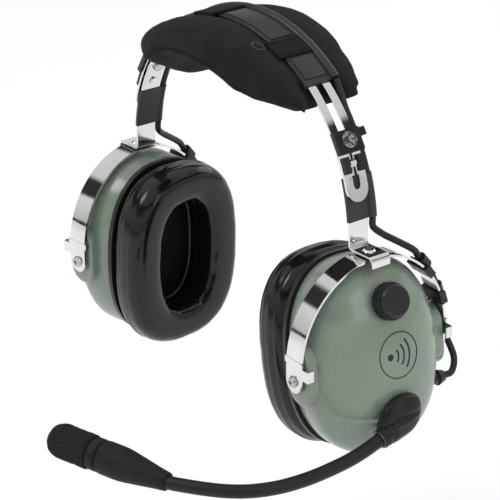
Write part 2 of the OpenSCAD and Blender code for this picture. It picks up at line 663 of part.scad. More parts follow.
driver(-1);  // right_driver
cord_grommet(-1);  // right_cord_grommet
cord_loop(-1);  // right_cord_loop
gain_pot();
mic_amplifier();
comm_gland();
boom_pivot();
volume_knob();
knob_shaft();
boom_housing();
boom_collar();
boom_rear();
boom_flex();
boom_front();
mic_body();
mic_band();
mic_windscreen();
mic_element();
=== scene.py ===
"""Aviation headset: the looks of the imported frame. Lengths below are in millimetres until a mesh is made."""
from math import acos, atan2, cos, exp, pi, radians, sin

import bmesh
import bpy
from mathutils import Matrix, Vector, noise


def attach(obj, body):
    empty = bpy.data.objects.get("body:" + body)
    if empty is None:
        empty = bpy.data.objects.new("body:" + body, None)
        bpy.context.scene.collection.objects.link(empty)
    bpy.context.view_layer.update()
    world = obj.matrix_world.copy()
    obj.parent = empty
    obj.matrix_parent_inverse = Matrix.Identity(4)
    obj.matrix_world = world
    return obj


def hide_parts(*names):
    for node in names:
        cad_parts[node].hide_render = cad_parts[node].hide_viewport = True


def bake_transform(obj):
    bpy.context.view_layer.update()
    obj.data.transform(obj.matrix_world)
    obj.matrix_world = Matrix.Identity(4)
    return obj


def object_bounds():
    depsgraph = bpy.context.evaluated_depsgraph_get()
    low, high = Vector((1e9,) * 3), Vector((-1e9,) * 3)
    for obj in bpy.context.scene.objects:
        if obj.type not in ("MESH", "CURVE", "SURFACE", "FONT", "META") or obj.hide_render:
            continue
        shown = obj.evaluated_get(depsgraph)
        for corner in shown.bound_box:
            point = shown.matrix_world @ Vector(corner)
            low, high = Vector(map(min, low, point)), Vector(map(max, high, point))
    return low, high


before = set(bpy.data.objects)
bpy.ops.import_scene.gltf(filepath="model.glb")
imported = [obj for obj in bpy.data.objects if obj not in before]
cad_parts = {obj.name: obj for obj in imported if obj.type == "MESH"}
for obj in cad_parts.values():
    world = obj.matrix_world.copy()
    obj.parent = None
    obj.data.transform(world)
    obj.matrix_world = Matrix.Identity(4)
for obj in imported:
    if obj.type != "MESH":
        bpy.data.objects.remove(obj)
cad_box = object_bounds()
scene = bpy.context.scene
MM = 0.001

# ---- sizes, as in the CAD source ----
BAND_R, BAND_RISE, STRIP_T, SLEEVE_SPAN = 92.5, 65.0, 1.2, 39.0
BAND_IN, BAND_OUT, ARM_R = BAND_R - STRIP_T / 2, BAND_R + STRIP_T / 2, BAND_R - 2
SLEEVE_HALF_W, CORD_Y, CORD_ARM_Y = 9.2, 10.8, 9.1
PAD_T, PAD_HALF_W, PAD_DROOP = 20.0, 42.0, 3.0
PAD_SPAN, PAD_END_T, PAD_END_HALF_W = (48.0, 45.0), (5.5, 22.5), (26.0, 25.0)  # wearer's left end, right end
STRAP_ANGLES = ((20, 27.5), (-16, -6))
AXIS_X, ARCH_HALF_W, ARCH_H, ARCH_Z = 99.0, 46.0, 50.0, 8.0
TURN, TILT = {1: -4.0, -1: -5.0}, {1: -10.0, -1: -1.0}
DOME_HALF_W, DOME_HALF_H, DOME_DEPTH, DOME_WALL, CUP_Z = 39.8, 52.0, 24.5, 2.2, 2.5
RIM_HALF_W, RIM_HALF_H, RIM_X, FLANGE_T = 36.4, 50.5, -16.5, 3.0
SEAL_HALF_W, SEAL_HALF_H, SEAL_T, EAR_HALF_W, EAR_HALF_H = 40.5, 53.0, 24.0, 19.0, 33.0
SEAL_X = RIM_X - FLANGE_T - 0.2
BOOM_Z, BOOM_LEAN = -27.5, 10.0
BOOM_R, MIC_R = 3.5, 9.25
CORD_R, CLIP_LIFT, CLIP_CORD_X = 1.8, 3.7, -2.0
GROMMET = Vector((7, 36, -22.5))
BOOM_EXIT = Vector((6.6, -13.5, -6.5))
BOOM_REAR = [(6.6, -13.7, -6.5), (8.1, -26.4, -9.5), (8.4, -38.4, -11.9), (8.5, -54, -13.4)]
BOOM_FLEX = [(8.5, -54, -13.4), (7.9, -66, -14), (6.3, -79, -14), (2.3, -91.5, -13.7)]
BOOM_FRONT = [(2.3, -91.5, -13.7), (-4, -101, -13.6), (-12.3, -109, -13.6), (-24.6, -118, -13.8),
              (-28.7, -120, -13.9)]
MIC_START, MIC_AIM = Vector((-28.7, -120, -13.9)), Vector((-103.7, -148, -11.1))

# ---- sizes of what only the looks have ----
DOME_ROUND, SIDE_ROUND, SEAL_ROUND = 2.2, 2.3, 2.6  # exponents of the ovals: 2 is an ellipse, more is squarer
BOSS_R, BOSS_Y = 9.0, 43.9
CROSS_STEPS, CREASE_Z, CREASE_DEPTH = 176, -27.2, 1.3
PUCKER, SIDE_PIPING = 0.8, 1.0
EMBLEM_Y, EMBLEM_Z, EMBLEM_R = 2.5, 3.5, 12.0
PAD_BULGE, PAD_BULGE_AT = 3.8, 27.0
PAD_VOXEL, PAD_PRESSURE, PAD_CAP = 4.5, 4.0, 3.0
SEAM_SINK, CREASE_SINK, CREASE_AT = 1.5, 2.2, -3.0
SNAP_AT, SNAP_R = (32.8, -18.0, 153.5), 3.4
CHANNEL_R, CHANNEL_LIFT = 2.7, 1.3
LABEL_PANELS = ((-5, 18.5), (28.5, 37), (-37, -17.5))
STITCH_PITCH, STITCH_SPAN = 1.6, 0.85


# ---- places ----
def move(x, y, z):
    return Matrix.Translation((x, y, z))


def turn_about(axis, degrees):
    return Matrix.Rotation(radians(degrees), 4, axis)


def side(s):
    return Matrix.Diagonal((s, 1, 1, 1))


def at_yoke(s):
    return side(s) @ move(AXIS_X, 0, 0) @ turn_about("Z", TURN[s])


def at_cup(s):
    return at_yoke(s) @ turn_about("Y", TILT[s]) @ move(0, 0, CUP_Z)


def dome_face(z):
    return DOME_DEPTH * (1 - (abs(z) / DOME_HALF_H) ** DOME_ROUND) ** (1 / DOME_ROUND)


def along(start, towards):
    """Place whose Z axis runs from start towards the other point."""
    d = (towards - start).normalized()
    turned = turn_about("Z", atan2(d.y, d.x) * 180 / pi) @ turn_about("Y", acos(d.z) * 180 / pi)
    return Matrix.Translation(start) @ turned


AT_BOOM = at_cup(1) @ move(dome_face(BOOM_Z), 0, BOOM_Z) @ turn_about("Y", BOOM_LEAN)
AT_MIC = AT_BOOM @ along(MIC_START, MIC_AIM)


def on_band(a, r, y):
    return Vector((r * cos(radians(a)), y, BAND_RISE + r * sin(radians(a))))


def arch_at(w, off):
    """Point on the stirrup's arch, w degrees from its top and off millimetres outside its middle line."""
    d = Vector((sin(radians(w)) / ARCH_HALF_W, cos(radians(w)) / ARCH_H)).normalized()
    return (ARCH_HALF_W * sin(radians(w)) + d.x * off, ARCH_Z + ARCH_H * cos(radians(w)) + d.y * off)


# ---- small maths ----
def spow(v, p):
    return (abs(v) ** p) * (1 if v >= 0 else -1)


def smooth(a, b, v):
    t = min(1.0, max(0.0, (v - a) / (b - a)))
    return t * t * (3 - 2 * t)


def bump(v, width):
    return exp(-(v / width) ** 2)


def mix(a, b, f):
    return a + (b - a) * f


def oval(x, w, h, n, steps):
    ring = []
    for k in range(steps):
        a = 2 * pi * k / steps
        ring.append(Vector((x, w * spow(cos(a), 2 / n), h * spow(sin(a), 2 / n))))
    return ring


def curve(points, steps):
    """Smooth curve through the points, as in the CAD source."""
    p = [Vector(q) for q in points]
    out = []
    for i in range(len(p) - 1):
        a, b, c, d = p[max(i - 1, 0)], p[i], p[i + 1], p[min(i + 2, len(p) - 1)]
        for k in range(steps):
            t = k / steps
            square, cube = 2 * a - 5 * b + 4 * c - d, 3 * b - a - 3 * c + d
            out.append(0.5 * (2 * b + (c - a) * t + square * t ** 2 + cube * t ** 3))
    return out + [p[-1]]


# ---- mesh makers ----
def baked(obj):
    """Mesh of the object with its modifiers applied; they are then taken off."""
    graph = bpy.context.evaluated_depsgraph_get()
    mesh = bpy.data.meshes.new_from_object(obj.evaluated_get(graph))
    obj.modifiers.clear()
    return mesh


def make(name, verts, faces, place=None, sharp=None):
    """Object from vertices in millimetres and faces; edges sharper than sharp degrees stay crisp."""
    place = place or Matrix.Identity(4)
    mesh = bpy.data.meshes.new(name)
    mesh.from_pydata([(place @ Vector(v)) * MM for v in verts], [], faces)
    bm = bmesh.new()
    bm.from_mesh(mesh)
    bmesh.ops.remove_doubles(bm, verts=bm.verts, dist=1e-6)
    bmesh.ops.recalc_face_normals(bm, faces=bm.faces)
    bm.to_mesh(mesh)
    bm.free()
    mesh.polygons.foreach_set("use_smooth", [True] * len(mesh.polygons))
    if sharp:
        mesh.set_sharp_from_angle(angle=radians(sharp))
    obj = bpy.data.objects.new(name, mesh)
    scene.collection.objects.link(obj)
    return obj


def skin(rings, wrapped=False):
    """Quads over a list of closed rings, capped at both ends unless the last ring joins the first."""
    m, n = len(rings[0]), len(rings)
    verts = [p for ring in rings for p in ring]
    faces = []
    for i in range(n if wrapped else n - 1):
        j = (i + 1) % n
        for k in range(m):
            q = (k + 1) % m
            faces.append((i * m + k, i * m + q, j * m + q, j * m + k))
    if not wrapped:
        faces += [tuple(range(m))[::-1], tuple(range((n - 1) * m, n * m))]
    return verts, faces


def join(*parts):
    verts, faces = [], []
    for v, f in parts:
        faces += [tuple(i + len(verts) for i in face) for face in f]
        verts += v
    return verts, faces


def placed(part, matrix):
    return [matrix @ Vector(v) for v in part[0]], part[1]


def tube_rings(points, radius, ref, sides=16):
    """Rings of a tube along points; radius is a number or a function of the share of the way along."""
    points = [Vector(p) for p in points]
    last = len(points) - 1
    rings = []
    for i, p in enumerate(points):
        t = (points[min(i + 1, last)] - points[max(i - 1, 0)]).normalized()
        u = Vector(ref).cross(t).normalized()
        v = t.cross(u)
        r = radius(i / last) if callable(radius) else radius
        angles = [2 * pi * k / sides for k in range(sides)]
        rings.append([p + r * (u * cos(a) + v * sin(a)) for a in angles])
    return rings


def tube(points, radius, ref, sides=16):
    return skin(tube_rings(points, radius, ref, sides))


def lathe(profile, steps=64):
    """Solid of revolution about Z from (radius, height) pairs that start and end on the axis."""
    angles = [2 * pi * k / steps for k in range(steps)]
    smallest = 1e-4
    shape = [(max(r, smallest), z) for r, z in profile]
    return skin([[Vector((r * cos(a), r * sin(a), z)) for a in angles] for r, z in shape])


# ---- materials ----
def material(name, colour, rough, metal=0.0, vary=0.12, vary_scale=60, rough_vary=0.08, grain=0.1,
             grain_scale=900, kind="noise", coat=0.0, sheen=0.0, weave=0.0, weave_scale=1400, dust=None,
             gloss=0.5):
    """Principled material whose colour, roughness and relief all come from procedural nodes."""
    m = bpy.data.materials.new(name)
    m.use_nodes = True
    n, link = m.node_tree.nodes, m.node_tree.links.new
    bsdf = n["Principled BSDF"]
    place = n.new("ShaderNodeTexCoord")

    def noise_node(scale, detail, rough_detail=0.6):
        t = n.new("ShaderNodeTexNoise")
        t.inputs["Scale"].default_value = scale
        t.inputs["Detail"].default_value = detail
        t.inputs["Roughness"].default_value = rough_detail
        link(place.outputs["Object"], t.inputs["Vector"])
        return t.outputs["Fac"]

    def remap(value, low, high):
        r = n.new("ShaderNodeMapRange")
        r.inputs["From Min"].default_value, r.inputs["From Max"].default_value = 0.3, 0.7
        r.inputs["To Min"].default_value, r.inputs["To Max"].default_value = low, high
        link(value, r.inputs["Value"])
        return r.outputs["Result"]

    broad, fine = noise_node(vary_scale, 4), noise_node(vary_scale * 9, 3)
    ramp = n.new("ShaderNodeMix")
    ramp.data_type = "RGBA"
    link(remap(broad, 0, 1), ramp.inputs["Factor"])
    ramp.inputs["A"].default_value = [c * (1 - vary) for c in colour] + [1]
    ramp.inputs["B"].default_value = [min(1, c * (1 + vary)) for c in colour] + [1]
    tint = ramp.outputs["Result"]
    if dust:
        wear = n.new("ShaderNodeMix")
        wear.data_type = "RGBA"
        link(remap(fine, 0, dust[1]), wear.inputs["Factor"])
        link(tint, wear.inputs["A"])
        wear.inputs["B"].default_value = list(dust[0]) + [1]
        tint = wear.outputs["Result"]
    link(tint, bsdf.inputs["Base Color"])
    link(remap(fine, rough - rough_vary, rough + rough_vary), bsdf.inputs["Roughness"])
    bsdf.inputs["Metallic"].default_value = metal
    bsdf.inputs["Coat Weight"].default_value = coat
    bsdf.inputs["Coat Roughness"].default_value = 0.12
    bsdf.inputs["Sheen Weight"].default_value = sheen
    bsdf.inputs["Specular IOR Level"].default_value = gloss

    if kind == "cells":
        t = n.new("ShaderNodeTexVoronoi")
        t.inputs["Scale"].default_value = grain_scale
        link(place.outputs["Object"], t.inputs["Vector"])
        height = t.outputs["Distance"]
    elif kind == "brushed":
        t = n.new("ShaderNodeTexNoise")
        stretch = n.new("ShaderNodeMapping")
        stretch.inputs["Scale"].default_value = (0.04, 1, 0.04)
        link(place.outputs["Object"], stretch.inputs["Vector"])
        link(stretch.outputs["Vector"], t.inputs["Vector"])
        t.inputs["Scale"].default_value = grain_scale
        height = t.outputs["Fac"]
    else:
        height = noise_node(grain_scale, 4)
    if weave:
        waves = []
        for direction in ("X", "Y", "Z"):
            w = n.new("ShaderNodeTexWave")
            w.bands_direction = direction
            w.inputs["Scale"].default_value = weave_scale
            w.inputs["Distortion"].default_value = 0.6
            link(place.outputs["Object"], w.inputs["Vector"])
            waves.append(w.outputs["Fac"])
        for w in waves:
            add = n.new("ShaderNodeMath")
            add.operation = "MULTIPLY_ADD"
            link(w, add.inputs[0])
            add.inputs[1].default_value = weave
            link(height, add.inputs[2])
            height = add.outputs["Value"]
    relief = n.new("ShaderNodeBump")
    relief.inputs["Strength"].default_value = grain
    relief.inputs["Distance"].default_value = 0.0004
    link(height, relief.inputs["Height"])
    link(relief.outputs["Normal"], bsdf.inputs["Normal"])
    return m


MATERIALS = {
    "shell": material("shell_green", (0.178, 0.222, 0.176), 0.27, vary=0.06, vary_scale=32, rough_vary=0.05,
                      grain=0.035, grain_scale=420, coat=0.25),
    "chrome": material("polished_steel", (0.74, 0.74, 0.73), 0.07, 1.0, vary=0.05, rough_vary=0.025,
                       grain=0.012, grain_scale=1400, kind="brushed"),
    "steel": material("screw_steel", (0.50, 0.50, 0.48), 0.2, 1.0, vary_scale=300, grain=0.02),
    "driver": material("driver_steel", (0.3, 0.3, 0.29), 0.4, 1.0, vary=0.1),
    "board": material("circuit_board", (0.02, 0.12, 0.05), 0.45, vary=0.2, vary_scale=500, grain=0.2),
    # cloth
    "pad": material("pad_cloth", (0.0125, 0.0102, 0.0100), 0.95, vary=0.22, vary_scale=90, grain=0.45,
                    grain_scale=1300, sheen=0.02, weave=0.5, dust=((0.03, 0.027, 0.026), 0.22), gloss=0.15),
    "strap": material("strap_cloth", (0.0085, 0.0082, 0.0082), 0.85, vary=0.15, grain=0.5, grain_scale=1500,
                      weave=0.8, weave_scale=900, sheen=0.02, gloss=0.15),
    # vinyl
    "label": material("label_vinyl", (0.017, 0.018, 0.019), 0.38, vary=0.14, grain=0.12, grain_scale=1100,
                      kind="cells", gloss=0.4),
    "vinyl": material("seal_vinyl", (0.0055, 0.0055, 0.0058), 0.17, vary=0.2, vary_scale=80, rough_vary=0.05,
                      grain=0.06, kind="cells", coat=0.08, gloss=0.34),
    "piping": material("seal_piping", (0.045, 0.046, 0.046), 0.35, vary=0.15, vary_scale=200),
    # rubber and plastic
    "cord": material("cord_rubber", (0.0095, 0.0095, 0.010), 0.42, vary=0.15, grain=0.08, grain_scale=1600,
                     gloss=0.4),
    "arm_rubber": material("sleeve_rubber", (0.026, 0.026, 0.027), 0.5, grain=0.12, grain_scale=1200,
                           gloss=0.35),
    "boom": material("boom_satin", (0.0105, 0.0102, 0.0102), 0.45, grain=0.05, grain_scale=1300, gloss=0.28),
    "grip": material("boom_rubber", (0.0105, 0.0103, 0.0103), 0.62, vary=0.18, vary_scale=200, grain=0.2,
                     grain_scale=1500, gloss=0.22),
    "plastic": material("black_plastic", (0.0085, 0.0085, 0.0088), 0.36, vary=0.15, grain_scale=1600,
                        gloss=0.4),
    "knob": material("knob_plastic", (0.0085, 0.0085, 0.0088), 0.32, vary=0.15, grain=0.08, grain_scale=1500,
                     coat=0.06, gloss=0.4),
    "ink": material("printed_ink", (0.010, 0.011, 0.010), 0.55, vary=0.2, vary_scale=400, grain=0.05),
    # foam
    "foam": material("dark_foam", (0.010, 0.0098, 0.0096), 0.95, vary=0.3, vary_scale=500, grain=0.9,
                     kind="cells", gloss=0.1),
    "screen": material("windscreen_foam", (0.019, 0.0183, 0.0183), 0.97, vary=0.3, vary_scale=700, grain=1.0,
                       grain_scale=1400, kind="cells", gloss=0.1),
    "floor": material("pale_floor", (0.88, 0.88, 0.88), 0.85, vary=0.01, vary_scale=2, grain=0.01,
                      grain_scale=60, gloss=0.1),
}


def finish(obj, look, body=None, stands_for=()):
    """Gives a piece its material and slot, and the body and CAD nodes that it goes with."""
    obj.data.materials.clear()
    obj.data.materials.append(MATERIALS[look])
    if body:
        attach(obj, body)
    if stands_for:
        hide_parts(*stands_for)
    return obj


# ---- camera, light and floor ----
CAM_AZ, CAM_EL, CAM_ROLL, CAM_DIST, LENS = 51.36, 23.83, -0.27, 1097.0, 149.8
LOOK_AT = Vector((22.9, -15.7, 38.7))
az, el = radians(CAM_AZ), radians(CAM_EL)
back = Vector((sin(az) * cos(el), -cos(az) * cos(el), sin(el)))
scene.view_settings.view_transform = "Standard"
camera = bpy.data.objects.new("camera", bpy.data.cameras.new("camera"))
camera.data.lens, camera.data.sensor_width = LENS, 36
camera.data.clip_end = 20
scene.collection.objects.link(camera)
scene.camera = camera
camera.matrix_world = (Matrix.Translation((LOOK_AT + back * CAM_DIST) * MM)
                       @ back.to_track_quat("Z", "Y").to_matrix().to_4x4() @ turn_about("Z", CAM_ROLL))


LAMP_AIM = (0, 0, 0.05)


def lamp(name, where, size, power):
    """Rectangular lamp at a place in metres, turned to the object."""
    light = bpy.data.lights.new(name, "AREA")
    light.shape, light.energy = "RECTANGLE", power
    light.size, light.size_y = size
    obj = bpy.data.objects.new(name, light)
    scene.collection.objects.link(obj)
    obj.location = where
    obj.rotation_euler = (Vector(LAMP_AIM) - Vector(where)).to_track_quat("-Z", "Y").to_euler()


lamp("key", (-0.75, -1.2, 1.5), (0.7, 0.7), 9)
lamp("side", (1.7, 0.1, 1.1), (0.7, 1.1), 5)
lamp("rim", (-0.2, 1.6, 0.9), (1.2, 0.6), 4)

# brightness that mirrors see, by height: 0 is straight down, 0.5 the horizon and 1 straight up
TENT_BANDS = ((0.0, 0.5), (0.47, 0.5), (0.478, 0.03), (0.503, 0.03), (0.515, 0.6), (0.68, 0.85), (0.70, 0.03),
              (0.79, 0.03), (0.81, 0.75), (1.0, 0.9))
PLAIN_LIGHT = 0.95


def light_tent():
    """Plain white light all round, with dark bands in it that only reflections see."""
    world = bpy.data.worlds.new("light_tent")
    scene.world = world
    world.use_nodes = True
    n, link = world.node_tree.nodes, world.node_tree.links.new
    n.clear()
    plain, tent = n.new("ShaderNodeBackground"), n.new("ShaderNodeBackground")
    path, pick = n.new("ShaderNodeLightPath"), n.new("ShaderNodeMixShader")
    out = n.new("ShaderNodeOutputWorld")
    where, split = n.new("ShaderNodeTexCoord"), n.new("ShaderNodeSeparateXYZ")
    height, bands = n.new("ShaderNodeMapRange"), n.new("ShaderNodeValToRGB")
    plain.inputs["Color"].default_value, plain.inputs["Strength"].default_value = (1, 1, 1, 1), PLAIN_LIGHT
    height.inputs["From Min"].default_value, height.inputs["From Max"].default_value = -1, 1
    for at, _ in TENT_BANDS[1:-1]:
        bands.color_ramp.elements.new(at)
    for stop, (at, level) in zip(bands.color_ramp.elements, TENT_BANDS):
        stop.position, stop.color = at, (level, level, level, 1)
    link(where.outputs["Generated"], split.inputs["Vector"])
    link(split.outputs["Z"], height.inputs["Value"])
    link(height.outputs["Result"], bands.inputs["Fac"])
    link(bands.outputs["Color"], tent.inputs["Color"])
    link(path.outputs["Is Glossy Ray"], pick.inputs["Fac"])
    link(plain.outputs[0], pick.inputs[1])
    link(tent.outputs[0], pick.inputs[2])
    link(pick.outputs[0], out.inputs["Surface"])


light_tent()

FLOOR_DROP, FLOOR_HALF = 0.16, 6000
floor_z = (cad_box[0][2] - FLOOR_DROP) / MM
corners = ((-1, -1), (1, -1), (1, 1), (-1, 1))
floor = make("floor", [(x * FLOOR_HALF, y * FLOOR_HALF, floor_z) for x, y in corners], [(0, 1, 2, 3)])
floor.data.materials.append(MATERIALS["floor"])

# ---- CAD nodes that stay: finish and softened edges ----
KEPT = {
    "chrome": ["band_spring", "*_arm", "*_stirrup", "*_guide_stud", "*_swivel_rivet"],
    "steel": ["*_clamp_screw", "*_pivot_screws", "boom_pivot", "knob_shaft", "mic_element"],
    "plastic": ["*_clamp", "*_cord_clips", "*_seal_flange", "*_baffle", "*_cord_grommet", "comm_gland"],
    "arm_rubber": ["*_arm_sleeve"],
    "foam": ["*_ear_foam"],
    "driver": ["*_driver", "gain_pot"],
    "board": ["mic_amplifier"],
    "knob": ["volume_knob"],
    "cord": ["cord_top"],
}
WELD_GAP, EDGE_WIDTH, EDGE_ANGLE = 0.000004, 0.00022, radians(33)


def soften(node):
    """Smooth faces and a fine bevel along the sharp edges."""
    node.data.polygons.foreach_set("use_smooth", [True] * len(node.data.polygons))
    weld = node.modifiers.new("weld", "WELD")
    weld.merge_threshold = WELD_GAP
    edge = node.modifiers.new("edge", "BEVEL")
    edge.limit_method, edge.angle_limit = "ANGLE", EDGE_ANGLE
    edge.width, edge.segments, edge.use_clamp_overlap = EDGE_WIDTH, 2, True
    shade = node.modifiers.new("shade", "WEIGHTED_NORMAL")
    shade.weight = 60


for look, patterns in KEPT.items():
    for pattern in patterns:
        for name in sorted({pattern.replace("*", word) for word in ("left", "right")}):
            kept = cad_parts[name]
            kept.data.materials.clear()
            kept.data.materials.append(MATERIALS[look])
            soften(kept)


# ---- ear cups ----
def dome_ring(share, steps):
    """Ring of the outer shell; share runs from 0 at the open rim to 1 at the middle of the face."""
    wall = 0.25
    if share < wall:
        x = RIM_X * (1 - share / wall)
        f = (x / RIM_X) ** 2
        return oval(x, mix(DOME_HALF_W, RIM_HALF_W, f), mix(DOME_HALF_H, RIM_HALF_H, f), SIDE_ROUND, steps)
    a = (share - wall) / (1 - wall) * pi / 2
    x, f = DOME_DEPTH * spow(sin(a), 2 / DOME_ROUND), max(spow(cos(a), 2 / DOME_ROUND), 1e-3)
    return oval(x, DOME_HALF_W * f, DOME_HALF_H * f, SIDE_ROUND, steps)


def dome_relief(p, s):
    """How far the moulded surface stands in from the plain shell at p, in the cup's own frame."""
    face = smooth(2, 14, p.x)
    crease_z = CREASE_Z + 0.0072 * (p.y + 5) ** 2
    fall = smooth(0, 4.0, crease_z - p.z) * (1 - smooth(8, 20, crease_z - p.z) * 0.6)
    sink = CREASE_DEPTH * face * fall * smooth(10, -10, p.y) * smooth(-41, -31, p.y)
    if s > 0:
        up = p.z - BOOM_Z
        ring = Vector((p.y, up)).length
        sink += face * 0.45 * bump(ring - 17.5, 1.7) * smooth(6, -6, up + 4)
        sink += face * 0.3 * bump(ring - 26, 1.4) * smooth(0, -10, up)
    return sink


def pivot_boss(y):
    """Long boss on one side of the shell that the stirrup's foot screws to; y is -1 in front and 1 behind."""
    middle = 2.5
    outline = []
    for k in range(48):
        a = k * pi / 24
        outline.append((BOSS_R * cos(a), (10 if k < 24 else -5) + BOSS_R * sin(a)))
    rows = [(BOSS_Y - 10.4, 1.0), (BOSS_Y - 1.5, 1.0), (BOSS_Y - 0.7, 0.985), (BOSS_Y - 0.2, 0.95),
            (BOSS_Y - 0.02, 0.88), (BOSS_Y, 0.5), (BOSS_Y, 0.03)]
    return skin([[Vector((u * f, y * depth, (v - middle) * f + middle - CUP_Z)) for u, v in outline]
                 for depth, f in rows])


def dome(s, body, name):
    """Moulded shell with its relief, an inner wall and two pivot bosses."""
    rows, inner_rows = 84, 24
    rings = []
    for i in range(rows + 1):
        ring = dome_ring(i / rows, CROSS_STEPS)
        for k, p in enumerate(ring):
            outward = Vector((max(p.x, 0) / DOME_DEPTH ** 2, p.y / DOME_HALF_W ** 2, p.z / DOME_HALF_H ** 2))
            ring[k] = p - outward.normalized() * dome_relief(p, s)
        rings.append(ring)
    in_x, in_y, in_z = 1 - DOME_WALL / DOME_DEPTH, 1 - DOME_WALL / DOME_HALF_W, 1 - DOME_WALL / DOME_HALF_H
    inner = [[Vector((p.x if p.x <= RIM_X + 0.01 else p.x * in_x, p.y * in_y, p.z * in_z))
              for p in dome_ring(i / inner_rows, CROSS_STEPS)] for i in range(inner_rows + 1)]
    parts = [skin(rings[::-1] + inner), pivot_boss(-1), pivot_boss(1)]
    obj = make(name, *join(*parts), place=at_cup(s), sharp=50)
    return finish(obj, "shell", body, [name.replace("_shell", "_dome")])


def piping_rings():
    """Rings of the piping at the bottom of the seal's opening."""
    inset, r, sides = 0.9, 0.75, 10
    rings = []
    for p in oval(SEAL_X - 1.2, EAR_HALF_W + inset, EAR_HALF_H + inset, SEAL_ROUND, 120):
        inward = Vector((0, -p.y, -p.z)).normalized()
        angles = [2 * pi * j / sides for j in range(sides)]
        rings.append([p + r * (inward * cos(a) + Vector((1, 0, 0)) * sin(a)) for a in angles])
    return rings


def seal(s, body, name):
    """Ear seal: a vinyl ring over foam, with a piped seam round its side and puckers between."""
    steps, turns, hollow = 200, 44, 6.0
    mid = SEAL_X - SEAL_T * 0.5
    rings = []
    for j in range(turns):
        a = 2 * pi * j / turns + 0.02
        c, d = spow(cos(a), 0.7), spow(sin(a), 0.8)
        f = (1 + c) / 2
        x = mid - d * SEAL_T / 2 - hollow * (1 - f) * (1 - abs(d))
        ring = oval(x, mix(EAR_HALF_W, SEAL_HALF_W, f), mix(EAR_HALF_H, SEAL_HALF_H, f), SEAL_ROUND, steps)
        outward = smooth(0.55, 0.9, f)
        depth = (x - mid) / (SEAL_T / 2)
        seam = (SIDE_PIPING * bump(depth - 0.12, 0.085) - 0.9 * bump(depth - 0.33, 0.13)
                - 0.8 * bump(depth + 0.08, 0.11) - 0.35 * (1 - bump(depth, 0.9)))
        slack = PUCKER * (0.25 + 0.75 * smooth(-0.2, -0.9, depth)) * (0.35 + 0.4 * (1 - outward))
        for k, p in enumerate(ring):
            fold = noise.noise(Vector((p.y * 0.16, p.z * 0.16, 7.3 * s + depth * 0.6))) * 0.9
            fine = noise.noise(Vector((p.y * 0.3, p.z * 0.3, 3.1 * s + depth * 1.2))) * 0.25
            radial = Vector((0, p.y, p.z)).normalized()
            inward = Vector((-1, 0, 0)) * fine * 0.15 * (1 - outward)
            ring[k] = p + radial * (outward * seam + (fold + fine) * slack - 0.25) + inward
        rings.append(ring)
    obj = make(name, *skin(rings, wrapped=True), place=at_cup(s))
    finish(obj, "vinyl", body, [name.replace("_cushion", "_ear_seal")])
    piping = make(name.replace("_cushion", "_piping"), *skin(piping_rings(), wrapped=True), place=at_cup(s))
    finish(piping, "piping", body)


def emblem():
    """Generic printed mark on the left cup: a circle round three sound-wave arcs."""
    above, sunk = 0.06, Vector((-0.4, 0, 0))

    def on_shell(y, z):
        v = (1 - (abs(z) / DOME_HALF_H) ** SIDE_ROUND - (abs(y) / DOME_HALF_W) ** SIDE_ROUND)
        return Vector((DOME_DEPTH * max(v, 0) ** (1 / SIDE_ROUND) + above, y, z))

    def stroke(points, width):
        line = [on_shell(EMBLEM_Y + y, EMBLEM_Z + z) for y, z in points]
        rings = []
        for i, p in enumerate(line):
            t = (line[min(i + 1, len(line) - 1)] - line[max(i - 1, 0)]).normalized()
            across = t.cross(Vector((1, 0, 0))).normalized() * width / 2
            rings.append([p - across, p + across, p + across + sunk, p - across + sunk])
        return skin(rings)

    def arc(r, a0, a1, cy=0.0):
        n = max(10, int(abs(a1 - a0) / 6))
        angles = [radians(a0 + (a1 - a0) * k / n) for k in range(n + 1)]
        return [(cy + r * cos(a), r * sin(a)) for a in angles]

    source = -5.5
    parts = [stroke(arc(EMBLEM_R, 0, 361), 0.55), stroke(arc(0.9, 0, 361, source), 1.75)]
    parts += [stroke(arc(r, -38, 38, source), 1.0) for r in (5.0, 8.6, 12.2)]
    obj = make("cup_emblem", *join(*parts), place=at_cup(1))
    return finish(obj, "ink", "left_cup")


# ---- head pad and its label sleeve ----
def pad_deep(b):
    """Thickness of the pad at b degrees from its top."""
    end_i = 0 if b > 0 else 1
    fall = abs(b / PAD_SPAN[end_i]) ** (4 if b > 0 else 2)
    return mix(PAD_T, PAD_END_T[end_i], fall) + PAD_BULGE * bump(abs(b) - PAD_BULGE_AT, 13)


def pad_half(b):
    """Half width of the pad at b degrees from its top."""
    end_i = 0 if b > 0 else 1
    u = min(1.0, abs(b) / PAD_SPAN[end_i])
    return mix(PAD_HALF_W, PAD_END_HALF_W[end_i], u ** 2)


def pad_ring(b, steps):
    """Points (angle, y, radius) round the pad's section at b degrees from its top."""
    span = PAD_SPAN[0 if b > 0 else 1]
    end = max(0.0, 1 - (abs(b) / (span + 0.8)) ** (7 if b > 0 else 10)) ** 0.5
    half, deep = pad_half(b) * (0.75 + 0.25 * end), pad_deep(b)
    ring = []
    for k in range(steps):
        c = 2 * pi * k / steps
        y = half * spow(cos(c), 0.75)
        f = (1 + spow(sin(c), 0.6)) / 2
        wing = max(0, abs(y) - SLEEVE_HALF_W - 2.5)
        dip = 3.4 * min(1, max(0, (abs(b) - SLEEVE_SPAN) / 3)) * min(1, max(0, (12.5 - abs(y)) / 4))
        rise = (4.6 if y < 0 else 2) * (1 - exp(-wing / 4))
        droop = PAD_DROOP * (abs(y) / PAD_HALF_W) ** 3.5
        top = BAND_IN - 1.1 + rise - droop - dip - (1 - end) * deep * 0.5
        ring.append((b, y, top - (deep - dip) * end * (1 - f)))
    return ring


def round_top(b, y, r):
    """Point b degrees round from the top of the band, positive to the wearer's left, at a radius."""
    return Vector((r * sin(radians(b)), y, BAND_RISE + r * cos(radians(b))))


